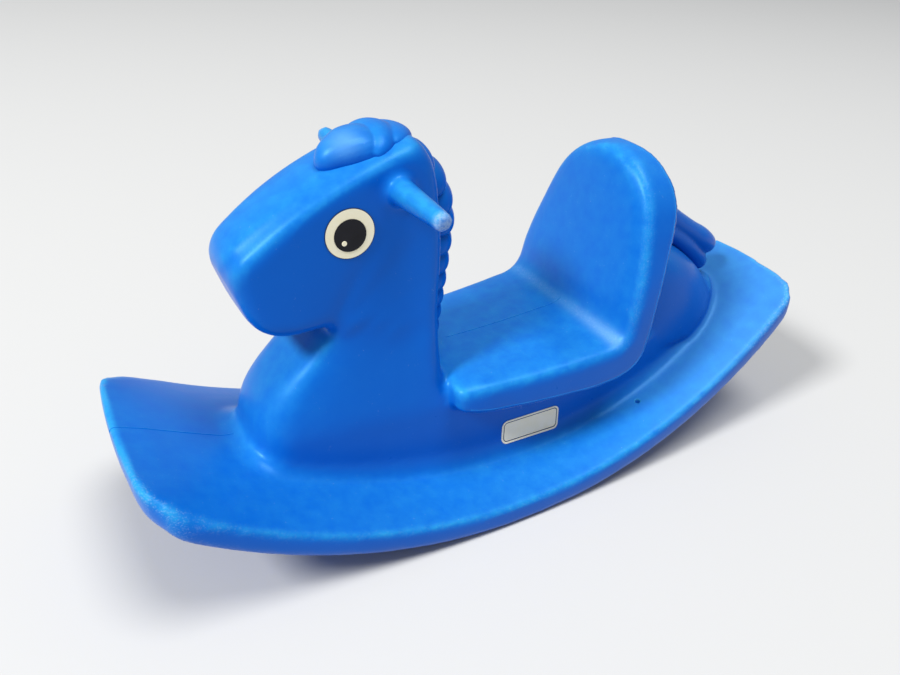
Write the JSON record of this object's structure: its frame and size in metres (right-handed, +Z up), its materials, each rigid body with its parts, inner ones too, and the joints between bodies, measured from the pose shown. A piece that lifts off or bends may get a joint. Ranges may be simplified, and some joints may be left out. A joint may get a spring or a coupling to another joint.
{
  "type": "rocking horse",
  "caption": "One-piece hollow plastic rocking horse for a small child: curved rocker board, horse's head with side hand grips, moulded seat with a tall back, mane and tail.",
  "frame": {"origin": "on the floor, under the middle of the rocker board's outline", "axes": "+X towards the tail, so the horse faces -X; +Y towards the horse's right; +Z up"},
  "size_m": [0.835, 0.302, 0.4263],
  "materials": {
    "blue_polyethylene": "satin blue polyethylene",
    "cream_vinyl": "smooth cream sticker",
    "black_vinyl": "smooth black sticker"
  },
  "bodies": {
    "root": {"rocker_base": "blue_polyethylene", "body_shell": "blue_polyethylene", "head_shell": "blue_polyethylene", "seat_shell": "blue_polyethylene", "rump_shell": "blue_polyethylene", "mane": "blue_polyethylene", "forelock": "blue_polyethylene", "tail": "blue_polyethylene", "hand_grip_left": "blue_polyethylene", "hand_grip_right": "blue_polyethylene", "eye_disc_left": "cream_vinyl", "eye_disc_right": "cream_vinyl", "eye_pupil_left": "black_vinyl", "eye_pupil_right": "black_vinyl", "eye_glint_left": "cream_vinyl", "eye_glint_right": "cream_vinyl", "side_label_left": "cream_vinyl", "side_label_right": "cream_vinyl"}
  },
  "joints": []
}
